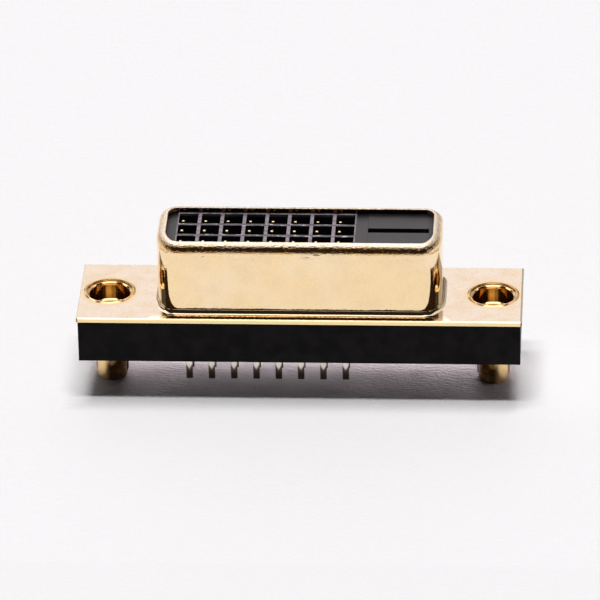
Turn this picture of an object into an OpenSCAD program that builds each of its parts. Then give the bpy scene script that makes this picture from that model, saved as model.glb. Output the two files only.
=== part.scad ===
// Straight board-mount DVI-D receptacle, 24 signal contacts and one flat ground blade.
// It stands on the tips of its board pegs: z = 0 there, X runs along the connector,
// the solder side is down and the mating face is up. Millimetres.

/* [Contact grid] */
// Distance between neighbouring contacts, along and across the connector
pitch = 1.905; // [1.7:0.005:2.4]
// Side of a square contact cell
cell = 1.6; // [1.2:0.05:1.6]
// Depth of a contact cell below the mating face
cell_depth = 5.2; // [4:0.1:7]
// Width of the lead-in bevel on the back edge of the back row's cells
cell_bevel = 0.19; // [0.05:0.01:0.3]

/* [Blade slot] */
// Length of the slot for the plug's flat ground blade
slot_l = 5.15; // [4.4:0.05:6.5]
// Height of the blade slot
slot_h = 0.72; // [0.6:0.02:1]
// Depth of the slot's narrow mouth, before it widens around the spring
slot_mouth = 0.9; // [0.5:0.1:1.2]
// Height of the step on the mating face where the slot's half stands proud of the cells
slot_step = 0.05; // [0.02:0.01:0.06]

/* [Tower] */
// From the tower's left end to the first contact column
left_margin = 2.05; // [1.5:0.05:3]
// From the last contact column to the blade slot
slot_gap = 1.96; // [1.5:0.02:3]
// From the blade slot to the tower's right end
right_margin = 0.7; // [0.6:0.05:2]
// From the outer rows' cells to the tower's long sides
row_margin = 0.6; // [0.5:0.05:1.5]

/* [Shell] */
// Thickness of the shell's sheet
sheet_t = 0.42; // [0.3:0.01:0.5]
// Height of the shroud's rim above the flange
shroud_h = 6.53; // [5.4:0.01:8]
// Outside radius of the rolled rim
rim_r = 0.73; // [0.6:0.01:0.75]
// Width of the flat strip inside the rim's round
rim_flat = 0.05; // [0.02:0.01:0.2]
// Outside radius of the bend between shroud and flange
base_r = 0.33; // [0.2:0.01:0.4]
// Outside radius of the shroud's back corners
back_corner_r = 1.7; // [1.2:0.1:2.5]
// Large radius with which each end wall starts to lean in towards the front
lean_r = 3.5; // [2.8:0.1:4]
// Outside radius of the shroud's front corners
front_corner_r = 1.45; // [1.2:0.05:1.8]
// From the shroud's end walls to the middle of the bushes
bush_gap = 4.26; // [3.4:0.02:6]
// Width of flange in front of the shroud and behind it
flange_rim = 1.05; // [0.8:0.05:2]

/* [Base block] */
// Height of the housing's base block
base_h = 3.7; // [3:0.1:5]
// How far the block's ends lie inside the flange's ends
base_end_inset = 0.14; // [0.05:0.01:0.3]
// How far the block's long sides lie inside the flange's long edges
base_side_inset = 0.05; // [0.02:0.01:0.2]
// Thickness of the block's wall between a bush and the block's end
end_wall = 0.4; // [0.3:0.05:1.5]
// Thickness of the block's floor under a bush
bush_floor = 0.5; // [0.4:0.05:1]

/* [Bushes] */
// Radius of the smooth bore at the top of a bush
bore_r = 1.71; // [1.5:0.01:1.8]
// Depth of the smooth bore below the flange's top
bore_depth = 1.62; // [1.2:0.02:2]
// Radius of the threaded hole below the ledge
thread_r = 1.15; // [0.95:0.01:1.2]
// Depth of the threaded hole below the ledge
thread_depth = 1.9; // [1.2:0.05:2]
// Outside radius of the bush's body in the flange and the block
bush_r = 1.95; // [1.9:0.01:2.2]
// How far the bead that clenches the bush laps over the flange around the bush's body
bead_lap = 0.25; // [0.1:0.01:0.5]
// How far the bead's round lies below the flange's top
bead_drop = 0.04; // [0:0.01:0.08]

/* [Board pegs] */
// Radius of a board peg
peg_r = 1.28; // [1.2:0.01:1.5]
// Length of a board peg below the block
peg_l = 3.95; // [3.3:0.05:5]
// How far the neck in the block's floor stands out around a peg
peg_neck = 0.3; // [0.2:0.01:0.4]
// Radius of the round at a peg's tip
peg_round = 0.35; // [0.1:0.05:0.5]
// Width of the slot that lets a peg spring
peg_slot = 0.4; // [0.3:0.05:0.6]
// How far the turned-out edge of the rear leg stands proud
barb = 0.12; // [0.05:0.01:0.2]
// Thickness of the turned-out edge
barb_t = 0.3; // [0.2:0.05:0.4]
// Height of the turned-out edge above the tip
barb_lift = 0.25; // [0.1:0.05:0.6]

/* [Contacts] */
// Thickness of the contacts' strip
strip_t = 0.25; // [0.2:0.01:0.3]
// Width of a contact's spring beam
beam_w = 0.45; // [0.3:0.05:0.6]
// How far a beam bows towards the pin
beam_bow = 0.28; // [0.1:0.02:0.34]
// Distance of a beam's tip from the middle of its cell
tip_x = 0.45; // [0.3:0.01:0.5]
// Depth of the back row's tips below the mating face
back_tip_drop = 0.16; // [0.03:0.01:0.4]
// Depth of the middle row's tips below the mating face
middle_tip_drop = 0.05; // [0.03:0.01:0.4]
// Depth of the front row's tips below the mating face
front_tip_drop = 0.13; // [0.03:0.01:0.4]
// Width of the plate that holds a contact in the housing
plate_w = 1; // [0.8:0.05:1.2]
// Height of the plate's foot above the block's underside
plate_lift = 0.3; // [0.2:0.05:0.6]
// Width of a solder tail
tail_w = 0.56; // [0.4:0.01:0.6]
// Width of a solder tail where it leaves the block
tail_root_w = 0.68; // [0.6:0.01:0.8]
// Length over which the tail narrows
tail_taper = 0.7; // [0.3:0.05:1]
// Length of the solder tails below the block
tail_l = 3.22; // [2.6:0.02:4]

/* [Ground blade contact] */
// Thickness of the ground contact's strip
blade_t = 0.3; // [0.2:0.02:0.35]
// Free length at each end of the ground contact in its slot
blade_end = 0.2; // [0.1:0.05:0.4]
// Depth of the ground contact's tips below the mating face
blade_drop = 1; // [0.6:0.1:2]
// Width of the two slits that part the contact into three fingers
blade_slit = 0.25; // [0.15:0.05:0.4]
// Distance between the ground contact's two solder tails
blade_tails = 2.54; // [2:0.02:3.5]

/* [Fit] */
// Clearance between the housing and what sits in it
fit = 0.03; // [0.01:0.01:0.06]
// Gap between the mating face and the underside of the rim
face_gap = 0.07; // [0.07:0.01:0.2]

/* [Hidden] */
columns = 8;
rows = 3;
// Small overlap that joins two parts of one piece
eps = 0.01;
// How far a cut runs on past the face it opens
past = 1;
// Straight steps in a bowed spring beam
bow_steps = 12;
round_fn = 96;
// Angle of a 3-4-5 triangle, through which an end wall leans before it turns the front corner
lean_angle = atan2(3, 4);

// Outside sizes that follow from the grid, the slot and the margins
tower_l = left_margin + (columns - 1) * pitch + slot_gap + slot_l + right_margin;
tower_d = (rows - 1) * pitch + cell + 2 * row_margin;
bush_end = bush_r + fit + end_wall + base_end_inset;
bead_r = (bush_r + bead_lap - bore_r) / 2;
shell_inset = sheet_t + fit;
shroud_l = tower_l + 2 * shell_inset;
shroud_d = tower_d + 2 * shell_inset;
flange_l = shroud_l + 2 * (bush_gap + bush_end);
flange_d = shroud_d + 2 * flange_rim;
base_l = flange_l - 2 * base_end_inset;
base_d = flange_d - 2 * base_side_inset;

// Heights from the pegs' tips
seat_z = peg_l;
flange_z = seat_z + base_h;
top_z = flange_z + sheet_t;
rim_z = top_z + shroud_h;
face_z = rim_z - sheet_t - face_gap;
floor_z = face_z - cell_depth;

tip_drops = [back_tip_drop, middle_tip_drop, front_tip_drop];

// Places along and across the connector
bush_x = shroud_l / 2 + bush_gap;
first_x = -tower_l / 2 + left_margin;
last_x = first_x + (columns - 1) * pitch;
slot_left = last_x + slot_gap;
slot_x = slot_left + slot_l / 2;
function column_x(c) = first_x + c * pitch;
function row_y(r) = ((rows - 1) / 2 - r) * pitch;

// The tower's top narrows here, to pass the round inside the rolled rim
shoulder_z = rim_z - rim_r - fit;
shoulder_inset = rim_r + fit / 2;

// The ground contact stands at the back of its cavity, behind the slot
blade_w = slot_l - 2 * blade_end;
blade_y = slot_h / 2 + blade_t / 2 + fit;
blade_back = blade_y + blade_t / 2 + fit;
shelf_z = seat_z + plate_lift;

function contact_name(n) = str("signal_contact_", n < 10 ? "0" : "", n);

// Middle of the large arc at a front corner, on the right-hand side
function lean_centre() = [
    shroud_l / 2 - lean_r,
    -shroud_d / 2 + front_corner_r + (lean_r - front_corner_r) * sin(lean_angle)
];

// Middle of the small arc at a front corner, on the right-hand side
function front_centre() = [
    shroud_l / 2 - lean_r + (lean_r - front_corner_r) * cos(lean_angle),
    -shroud_d / 2 + front_corner_r
];

// Middle of a back corner's arc, on the right-hand side
function back_centre() = [shroud_l / 2 - back_corner_r, shroud_d / 2 - back_corner_r];

// A slice of a round plate about a point, between two angles up to 90 degrees apart
module sector(middle, radius, from_angle, to_angle) {
    far = 2 * radius;
    translate(middle) intersection() {
        circle(r = radius, $fn = round_fn);
        polygon([[0, 0], far * [cos(from_angle), sin(from_angle)], far * [cos(to_angle), sin(to_angle)]]);
    }
}

// Right-hand half of the shroud's outline seen from above, moved inwards by inset
module half_outline(inset) {
    lean = lean_centre();
    front = front_centre();
    back = back_centre();
    side_x = shroud_l / 2 - inset;
    side_y = shroud_d / 2 - inset;
    front_reach = front_corner_r - inset;
    lean_end = front + front_reach * [cos(lean_angle), -sin(lean_angle)];
    polygon([[-eps, side_y], [back[0], side_y], back, [side_x, back[1]], [side_x, lean[1]],
             lean, front, [front[0], -side_y], [-eps, -side_y]]);
    polygon([lean, [side_x, lean[1]], lean_end, front]);
    sector(back, back_corner_r - inset, 0, 90);
    sector(lean, lean_r - inset, -lean_angle, 0);
    sector(front, front_reach, -90, -lean_angle);
}

// The whole outline: straight long sides, round back corners, front corners that lean in
module shroud_outline(inset) {
    half_outline(inset);
    mirror([1, 0]) half_outline(inset);
}

// Quarter of a ring of sheet, bent about the origin, between the angles 90 * turn and 90 * turn + 90
module bend(inner_r, turn) {
    intersection() {
        difference() {
            circle(r = inner_r + sheet_t, $fn = round_fn);
            circle(r = inner_r, $fn = round_fn);
        }
        rotate(90 * turn) square(2 * (inner_r + sheet_t));
    }
}

// Section of the shroud's wall: x runs inwards from its outside, y up from the flange's top
module wall_section() {
    translate([-base_r, base_r]) bend(base_r, 3);
    translate([0, base_r]) square([sheet_t, shroud_h - rim_r - base_r]);
    translate([rim_r, shroud_h - rim_r]) bend(rim_r - sheet_t, 1);
    translate([rim_r, shroud_h - sheet_t]) square([rim_flat, sheet_t]);
}

// A straight wall along x, its outside at y = 0 and its inside towards +y
module straight_wall(length) {
    rotate([90, 0, 90]) linear_extrude(length) wall_section();
}

// A wall round a corner whose outside has this radius, between two angles
module round_wall(radius, from_angle, to_angle) {
    rotate([0, 0, from_angle])
        rotate_extrude(angle = to_angle - from_angle, $fn = round_fn)
            translate([radius, 0]) mirror([1, 0]) wall_section();
}

// Right-hand half of the shroud: back wall and corner, end wall, leaning arc, front corner and wall
module half_shroud() {
    lean = lean_centre();
    back = back_centre();
    front = front_centre();
    translate([back[0], shroud_d / 2]) rotate([0, 0, 180]) straight_wall(back[0]);
    translate(back) round_wall(back_corner_r, 0, 90);
    translate([shroud_l / 2, lean[1]]) rotate([0, 0, 90]) straight_wall(back[1] - lean[1]);
    translate(lean) round_wall(lean_r, -lean_angle, 0);
    translate(front) round_wall(front_corner_r, -90, -lean_angle);
    translate([0, -shroud_d / 2]) straight_wall(front[0]);
}

// The drawn shell: a flange with two bush holes, and the hollow shroud with its rolled rim
module front_shell() {
    color("#e3bd78") translate([0, 0, top_z]) {
        difference() {
            translate([-flange_l / 2, -flange_d / 2, -sheet_t]) cube([flange_l, flange_d, sheet_t]);
            translate([0, 0, -sheet_t - past])
                linear_extrude(sheet_t + 2 * past) shroud_outline(-base_r);
            for (side = [-1, 1])
                translate([side * bush_x, 0, -sheet_t - past])
                    cylinder(r = bush_r + fit, h = sheet_t + 2 * past, $fn = round_fn);
        }
        half_shroud();
        mirror([1, 0, 0]) half_shroud();
    }
}

// Room for one contact: the cell, and the two crossing slots that grip its plate and its wing
module contact_room(row) {
    plate_room = plate_w + 2 * fit;
    strip_room = strip_t + 2 * fit;
    beam_room = beam_w + 2 * fit;
    translate([-cell / 2, -cell / 2, floor_z]) cube([cell, cell, cell_depth + past]);
    translate([-plate_room / 2, -strip_room / 2, seat_z - past])
        cube([plate_room, strip_room, floor_z - seat_z + past + eps]);
    translate([-plate_room / 2, -beam_room / 2, seat_z - past])
        cube([strip_room, beam_room, floor_z - seat_z + past + eps]);
    if (row == 0)
        translate([-cell / 2, cell / 2, face_z]) rotate([45, 0, 0])
            translate([0, -cell_bevel / sqrt(2), -cell_bevel / sqrt(2)])
                cube([cell, cell_bevel * sqrt(2), cell_bevel * sqrt(2)]);
}

// Room for the ground contact: narrow mouth, spring cavity, gripping slot and the shelf below
module blade_room() {
    cavity_front = -slot_h / 2;
    cavity_d = blade_back - cavity_front;
    grip_l = blade_w + 2 * fit;
    translate([-slot_l / 2, -slot_h / 2, floor_z]) cube([slot_l, slot_h, cell_depth + past]);
    translate([-slot_l / 2, cavity_front, floor_z])
        cube([slot_l, cavity_d, cell_depth - slot_mouth]);
    translate([-grip_l / 2, blade_y - blade_t / 2 - fit, seat_z - past])
        cube([grip_l, blade_t + 2 * fit, floor_z - seat_z + past + eps]);
    translate([-grip_l / 2, blade_y - blade_t / 2 - fit, seat_z - past])
        cube([grip_l, row_y(0) - blade_y + blade_t + 2 * fit, past + plate_lift + blade_t + fit]);
}

// Room for a bush: its body from above, and its peg through the block's floor
module bush_room() {
    translate([0, 0, seat_z + bush_floor]) cylinder(r = bush_r + fit, h = base_h, $fn = round_fn);
    translate([0, 0, seat_z - past])
        cylinder(r = peg_r + peg_neck + fit, h = base_h, $fn = round_fn);
}

// The black moulding: base block, tower with its shoulder, cells, blade slot and bush holes
module housing() {
    color("#1d1c1e") difference() {
        union() {
            translate([-base_l / 2, -base_d / 2, seat_z]) cube([base_l, base_d, base_h]);
            translate([0, 0, flange_z - eps])
                linear_extrude(shoulder_z - flange_z + eps) shroud_outline(shell_inset);
            translate([0, 0, shoulder_z - eps])
                linear_extrude(face_z - shoulder_z + eps) shroud_outline(shoulder_inset);
            intersection() {
                translate([0, 0, shoulder_z - eps])
                    linear_extrude(face_z - shoulder_z + slot_step + eps) shroud_outline(shoulder_inset);
                translate([slot_left, -shroud_d, shoulder_z - past])
                    cube([shroud_l, 2 * shroud_d, shroud_h]);
            }
        }
        for (r = [0 : rows - 1], c = [0 : columns - 1])
            translate([column_x(c), row_y(r), 0]) contact_room(r);
        translate([slot_x, 0, 0]) blade_room();
        for (side = [-1, 1]) translate([side * bush_x, 0, 0]) bush_room();
    }
}

// Section of the bush above the block's floor: x is the radius, y the height over the flange
module bush_section() {
    body_end = base_h + sheet_t - bush_floor;
    bead_x = bore_r + bead_r;
    difference() {
        translate([0, -body_end]) square([bush_r, body_end]);
        translate([0, -bore_depth]) square([bore_r, bore_depth + past]);
        translate([0, -bore_depth - thread_depth])
            square([thread_r, bore_depth + thread_depth + past]);
    }
    intersection() {
        translate([bead_x, -bead_drop]) circle(r = bead_r, $fn = round_fn);
        square([bead_x + bead_r, bead_r]);
    }
}

// Section of the board peg: x is the radius, y the height over the tip, which is rounded.
// Its neck fills the hole in the block's floor.
module peg_section() {
    translate([0, peg_l]) square([peg_r + peg_neck, bush_floor]);
    translate([0, peg_round]) square([peg_r, peg_l - peg_round]);
    square([peg_r - peg_round, peg_l]);
    translate([peg_r - peg_round, peg_round]) circle(r = peg_round, $fn = round_fn);
}

// A turned bush with its clenched bead, ledge and threaded hole. Below it the board peg is
// split along x into a front and a rear leg, and the rear leg's edges are turned out.
module bush() {
    color("#d9b063") {
        translate([0, 0, top_z]) rotate_extrude($fn = round_fn) bush_section();
        difference() {
            rotate_extrude($fn = round_fn) peg_section();
            translate([-peg_r - past, -peg_slot / 2, -past])
                cube([2 * (peg_r + past), peg_slot, past + peg_l]);
        }
        translate([-peg_r - barb, peg_slot / 2, barb_lift])
            cube([2 * (peg_r + barb), barb_t, peg_l - barb_lift]);
    }
}

// Outline of a strip that follows a line of points, this far to each side of it
function strip_outline(line, half_t) = concat(
    [for (p = line) [p[0] - half_t, p[1]]],
    [for (i = [len(line) - 1 : -1 : 0]) [line[i][0] + half_t, line[i][1]]]
);

// Middle line of a spring beam, bottom to top: from the wing it bows to the pin and back to the tip
function beam_line(drop) = [
    for (i = [0 : bow_steps])
        let (u = i / bow_steps, wing_x = (plate_w - strip_t) / 2, top = face_z - drop)
            [-wing_x - (tip_x - wing_x) * u + beam_bow * sin(180 * u), floor_z + (top - floor_z) * u]
];

// One signal contact, its plate across the cell and its beam on the plate's left edge
module signal_contact(row) {
    half_t = strip_t / 2;
    foot_z = seat_z + plate_lift;
    color("#d8b56c") {
        translate([-plate_w / 2, -half_t, foot_z]) cube([plate_w, strip_t, floor_z - foot_z]);
        translate([-plate_w / 2, -beam_w / 2, foot_z + plate_lift])
            cube([strip_t, beam_w, floor_z - foot_z - plate_lift + eps]);
        translate([0, beam_w / 2, 0]) rotate([90, 0, 0]) linear_extrude(beam_w)
            polygon(strip_outline(beam_line(tip_drops[row]), half_t));
        translate([0, half_t, 0]) rotate([90, 0, 0]) linear_extrude(strip_t)
            polygon([
                [-tail_root_w / 2, foot_z + eps], [-tail_root_w / 2, seat_z],
                [-tail_w / 2, seat_z - tail_taper], [-tail_w / 2, seat_z - tail_l],
                [tail_w / 2, seat_z - tail_l], [tail_w / 2, seat_z - tail_taper],
                [tail_root_w / 2, seat_z], [tail_root_w / 2, foot_z + eps]
            ]);
    }
}

// Middle line of the ground contact's fingers, bottom to top: they bow forward into the slot
function finger_line() = [
    for (i = [0 : bow_steps])
        let (u = i / bow_steps, top = face_z - blade_drop)
            [blade_y - (blade_y - blade_t / 2) * sin(180 * u), floor_z + (top - floor_z) * u]
];

// The ground contact: three bowed fingers on one plate, a shelf to the back row and two tails
module ground_blade() {
    half_t = blade_t / 2;
    finger_w = (blade_w - 2 * blade_slit) / 3;
    color("#d8b56c") translate([slot_x, 0, 0]) {
        for (k = [-1 : 1])
            translate([(k - 0.5) * finger_w + k * blade_slit, 0, 0])
                rotate([90, 0, 90]) linear_extrude(finger_w)
                    polygon(strip_outline(finger_line(), half_t));
        translate([-blade_w / 2, blade_y - half_t, shelf_z])
            cube([blade_w, blade_t, floor_z - shelf_z + eps]);
        translate([-blade_w / 2, blade_y - half_t, shelf_z])
            cube([blade_w, row_y(0) - blade_y + blade_t, blade_t]);
        for (side = [-1, 1])
            translate([side * blade_tails / 2 - tail_w / 2, row_y(0) - half_t, seat_z - tail_l])
                cube([tail_w, blade_t, tail_l + plate_lift + eps]);
    }
}

front_shell();
housing();
translate([-bush_x, 0, 0]) bush();  // left_bush
translate([bush_x, 0, 0]) bush();  // right_bush
ground_blade();
for (r = [0 : rows - 1], c = [0 : columns - 1])
    translate([column_x(c), row_y(r), 0]) signal_contact(r);
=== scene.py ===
# %% [markdown]
# # A DVI socket for a circuit board, in gold plate, black plastic and tin
#
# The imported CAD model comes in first. It fixes every size and place. What follows gives the socket
# its looks: a drawn and plated sheet shell, turned bushes, a moulded housing and stamped contacts.
# Lengths are written in millimetres, and MM turns them into Blender's metres where a mesh, a lamp or
# the camera is made.

# %% Bring in the CAD frame
import math

import bmesh
import bpy
import numpy as np
from mathutils import Matrix, Vector


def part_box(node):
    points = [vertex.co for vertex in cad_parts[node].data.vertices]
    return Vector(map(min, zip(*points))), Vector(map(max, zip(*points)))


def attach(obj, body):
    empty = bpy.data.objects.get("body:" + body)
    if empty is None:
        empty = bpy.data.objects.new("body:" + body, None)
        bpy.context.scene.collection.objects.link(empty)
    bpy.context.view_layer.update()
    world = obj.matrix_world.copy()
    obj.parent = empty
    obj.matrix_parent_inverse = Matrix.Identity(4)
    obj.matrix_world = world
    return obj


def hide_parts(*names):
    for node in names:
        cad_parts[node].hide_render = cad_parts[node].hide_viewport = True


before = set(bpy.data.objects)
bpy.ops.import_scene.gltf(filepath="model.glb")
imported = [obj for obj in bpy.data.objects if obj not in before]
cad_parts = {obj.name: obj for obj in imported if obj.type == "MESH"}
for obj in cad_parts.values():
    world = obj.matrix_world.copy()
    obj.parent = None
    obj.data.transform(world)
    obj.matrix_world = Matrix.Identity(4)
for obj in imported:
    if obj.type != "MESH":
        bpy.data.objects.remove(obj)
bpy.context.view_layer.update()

MM = 0.001
FLANGE_TOP = 8.07
FLANGE_X, FLANGE_Y = 18.8275, 4.805
BUSH_X = 16.3075

# %% [markdown]
# ## Surfaces as grids of points
#
# Every new surface here is a grid. One direction of the grid follows a path and the other a section,
# and both are written as "stops": a centre, a radius and an angle. Between two stops all four numbers
# change evenly, so an arc, a straight and a step are the same thing. To move a whole outline inwards
# it is enough to take the distance from every radius, which is how a sheet keeps its thickness.

# %% Stops, rows and rings
def walk(stops):
    """Rows of centre x, centre y, radius and angle in radians. Each stop ends with its number of
    steps to the next stop, and the rows between two stops share their difference out evenly."""
    stops = np.array(stops, float)
    shares = [np.linspace(0, 1, int(stop[4]), endpoint=False)[:, None] for stop in stops[:-1]]
    runs = [a[:4] * (1 - s) + b[:4] * s for a, b, s in zip(stops[:-1], stops[1:], shares)]
    rows = np.vstack(runs + [stops[-1:, :4]])
    rows[:, 3] = np.radians(rows[:, 3])
    return rows


def trace(rows, inset=0.0):
    """Points of the rows: the centre plus (radius - inset) times (cos angle, sin angle)."""
    reach = rows[:, 2] - inset
    x = rows[:, 0] + reach * np.cos(rows[:, 3])
    y = rows[:, 1] + reach * np.sin(rows[:, 3])
    return np.stack([x, y], -1)


def sweep(rows, section, height=0.0):
    """A section carried along an outline. The section's first number is how far in from the outline,
    its second how high. Point = centre + (radius - inset) (cos, sin), at height + rise."""
    reach = rows[:, 2:3] - section[None, :, 0]
    x = rows[:, 0:1] + reach * np.cos(rows[:, 3:4])
    y = rows[:, 1:2] + reach * np.sin(rows[:, 3:4])
    return np.stack([x, y, np.broadcast_to(height + section[None, :, 1], x.shape)], -1)


def ruled(first, second, first_z, second_z):
    """A strip between two outlines of as many points: a grid of two rows."""
    edges = ((first, first_z), (second, second_z))
    return np.stack([np.column_stack([xy, np.full(len(xy), z)]) for xy, z in edges], 1)


def fan(edge):
    """A cap: a grid whose second row is the middle of the first, over and over."""
    return np.stack([edge, np.broadcast_to(edge.mean(0), edge.shape)], 1)


# %% [markdown]
# ## From grids to one closed skin
#
# The patches of a piece share their border points, so merging the doubles sews them into one closed
# skin. The number of open edges is printed and should be 0. Weighted normals keep the flats flat
# next to the small rounds, which matters on polished metal because every bend of a normal shows.

# %% Sew patches into a piece
MERGE = 0.0004
SLIVER = 0.0002
SHARP_ANGLE = 50


def quads(grid, around, along):
    """Corner numbers of each quad of a grid, with the last row joined to the first where it closes."""
    rows, columns = grid.shape[:2]
    number = np.arange(rows * columns).reshape(rows, columns)
    if around:
        number = np.vstack([number, number[:1]])
    if along:
        number = np.hstack([number, number[:, :1]])
    corners = [number[:-1, :-1], number[1:, :-1], number[1:, 1:], number[:-1, 1:]]
    return np.stack(corners, -1).reshape(-1, 4)


def hold_flats(piece):
    """Lets each corner's normal follow the largest face there, so that flats stay flat."""
    flats = piece.modifiers.new("flats stay flat", "WEIGHTED_NORMAL")
    flats.keep_sharp = True
    flats.weight = 100


def hand_over(piece, node):
    """Puts a finished piece on the one body, in the place of its CAD node."""
    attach(piece, "root")
    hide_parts(node)


def sew(name, patches, node, material, weighted=True):
    """Makes a piece from (grid, closed around, closed along) patches in mm. It merges the doubles,
    turns the faces outwards and counts the open edges."""
    points, faces, start = [], [], 0
    for grid, around, along in patches:
        faces.append(quads(grid, around, along) + start)
        points.append(grid.reshape(-1, 3))
        start += len(points[-1])
    mesh = bpy.data.meshes.new(name)
    mesh.from_pydata(np.vstack(points) * MM, [], np.vstack(faces).tolist())
    skin = bmesh.new()
    skin.from_mesh(mesh)
    bmesh.ops.remove_doubles(skin, verts=skin.verts, dist=MERGE * MM)
    bmesh.ops.dissolve_degenerate(skin, edges=skin.edges, dist=SLIVER * MM)
    bmesh.ops.recalc_face_normals(skin, faces=skin.faces)
    open_edges = sum(len(edge.link_faces) != 2 for edge in skin.edges)
    skin.to_mesh(mesh)
    skin.free()
    mesh.shade_smooth()
    mesh.set_sharp_from_angle(angle=math.radians(SHARP_ANGLE))
    piece = bpy.data.objects.new(name, mesh)
    bpy.context.scene.collection.objects.link(piece)
    mesh.materials.append(material)
    if weighted:
        hold_flats(piece)
    hand_over(piece, node)
    print(name, len(mesh.polygons), "faces,", open_edges, "open edges")


# %% [markdown]
# ## Materials as sums
#
# A material is a little sum over the surface: so much grain, so much wear. The class below wraps a
# node's socket so that such sums are written as sums. Colours and vectors go through their own nodes.
# All patterns read Object coordinates, which are metres here, so a scale is one over a size in metres.

# %% A socket that can be added and multiplied
class Value:
    """A node's output. Arithmetic on it adds Math nodes."""

    def __init__(self, tree, socket):
        self.tree = tree
        self.socket = socket

    def operate(self, operation, *terms):
        """One Math node with these terms, each a value or a number."""
        return self.tree.node("Math", {"operation": operation}, dict(enumerate(terms)))

    def __add__(self, other):
        return self.operate("ADD", self, other)

    def __radd__(self, other):
        return self.operate("ADD", other, self)

    def __sub__(self, other):
        return self.operate("SUBTRACT", self, other)

    def __rsub__(self, other):
        return self.operate("SUBTRACT", other, self)

    def __mul__(self, other):
        return self.operate("MULTIPLY", self, other)

    def __rmul__(self, other):
        return self.operate("MULTIPLY", other, self)

    def __truediv__(self, other):
        return self.operate("DIVIDE", self, other)

    def __rtruediv__(self, other):
        return self.operate("DIVIDE", other, self)

    def unsigned(self):
        """The value without its sign, so that what it draws is mirrored."""
        return self.operate("ABSOLUTE", self)

    def largest(self, other):
        return self.operate("MAXIMUM", self, other)

    def fade(self, low, high, to_low=0.0, to_high=1.0):
        """A soft step: to_low below low, to_high above high, smooth between."""
        sockets = {"Value": self, "From Min": low, "From Max": high, "To Min": to_low, "To Max": to_high}
        return self.tree.node("MapRange", {"interpolation_type": "SMOOTHSTEP"}, sockets)

    def fall(self, low, high):
        """A soft step down: 1 below low, 0 above high."""
        return self.fade(low, high, 1.0, 0.0)


def away(first, second):
    """How far a point is from where both values are 0: the root of the sum of their squares."""
    total = first * first + second * second
    return total.operate("POWER", total, 0.5)


# %% A node tree that is written from top to bottom
class Finish:
    """The nodes of a material or of the world."""

    def __init__(self, owner):
        owner.use_nodes = True
        self.owner = owner
        self.nodes = owner.node_tree.nodes
        self.links = owner.node_tree.links
        self.nodes.clear()

    def node(self, kind, settings=None, sockets=None, out=0):
        """Adds a node: its settings first, then its sockets, each with a value or a link."""
        made = self.nodes.new("ShaderNode" + kind)
        for key, value in (settings or {}).items():
            setattr(made, key, value)
        for key, value in (sockets or {}).items():
            if isinstance(value, Value):
                self.links.new(value.socket, made.inputs[key])
            else:
                made.inputs[key].default_value = value
        return Value(self, made.outputs[out]) if len(made.outputs) else None

    def place(self):
        return self.node("TexCoord", out="Object")

    def part(self, name):
        """One number of the place, x, y or z, in millimetres."""
        return self.node("SeparateXYZ", {}, {0: self.place()}, out=name) * (1 / MM)

    def speck(self, size, detail=2.0, roughness=0.5, stretch=None):
        """Noise from 0 to 1 whose lumps are about size millimetres across. A stretch below 1 makes
        them longer along that axis."""
        where = self.place()
        if stretch:
            where = self.node("VectorMath", {"operation": "MULTIPLY"}, {0: where, 1: stretch})
        sockets = {"Vector": where, "Scale": 1 / (size * MM), "Detail": detail, "Roughness": roughness}
        return self.node("TexNoise", {}, sockets)

    def blend(self, amount, first, second):
        """The first colour where amount is 0, the second where it is 1."""
        sockets = {"Factor": amount, 6: first, 7: second}
        return self.node("Mix", {"data_type": "RGBA"}, sockets, out=2)

    def bump(self, height, depth, under=None):
        """Height from 0 to 1 pressed into the surface, depth in millimetres."""
        sockets = {"Height": height, "Distance": depth * MM, "Strength": 1.0}
        if under is not None:
            sockets["Normal"] = under
        return self.node("Bump", {}, sockets)

    def surface(self, **sockets):
        """Ends the material in a Principled shader. Sockets are named with _ for a space."""
        named = {key.replace("_", " "): value for key, value in sockets.items()}
        shader = self.node("BsdfPrincipled", {}, named)
        self.node("OutputMaterial", {}, {"Surface": shader})
        return self.owner


def new_finish(name):
    return Finish(bpy.data.materials.new(name))


# %% [markdown]
# ## Gold plate
#
# The shell is drawn from sheet, then plated with nickel and thin gold. The colour is blended from masks
# of height and place: pale on the flange, which is painted light for the washed-out look of its bright
# reflection, fuller on the wall, warm where the rim rolls over and paler on the rim's crest. One flat
# metal colour would look like paint, because a real coat is never even, so the colour is then clouded,
# dusted and pitted. Drawing opens the sheet's grain into an orange peel, which breaks up what the rim
# mirrors, so the bump is deep there and faint on the flats.
# The wall's inner side and the rim's inner end would mirror only the black moulding, so a dark
# reflection is painted there. Dark dots painted on the flange's corners, the shade of burrs, and a dark
# nick painted under the rim, in front and again behind, the shade of a small dent, come last.

# %% The plate's colours
# The flange's colour is painted paler than the wall's: painted light for its bright, washed-out reflection.
FLANGE_PAINTED_PALE = (0.97, 0.85, 0.68, 1)
WALL_COAT = (1.0, 0.775, 0.455, 1)
EDGE_COAT = (1.0, 0.80, 0.41, 1)
RIM_COAT = (1.0, 0.63, 0.26, 1)
CREST_COAT = (1.0, 0.88, 0.68, 1)
LEDGE_COAT = (1.0, 0.74, 0.36, 1)
# Painted shading: a fuller gold on the flange round each bush collar, for the rise of the sheet there.
RING_PAINTED_SHADING = (1.0, 0.76, 0.42, 1)
BLUSH = (1.0, 0.86, 0.66, 1)
CLOUD = (0.90, 0.68, 0.41, 1)
DUST = (0.80, 0.58, 0.33, 1)
PIT = (0.62, 0.42, 0.22, 1)
# Painted shade for the corner burrs and the dent under the rim, and a painted dark reflection inside the
# wall.
PAINTED_BURR_AND_DENT_SHADE = (0.10, 0.06, 0.03, 1)
PAINTED_DARK_REFLECTION = (0.06, 0.045, 0.03, 1)

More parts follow.
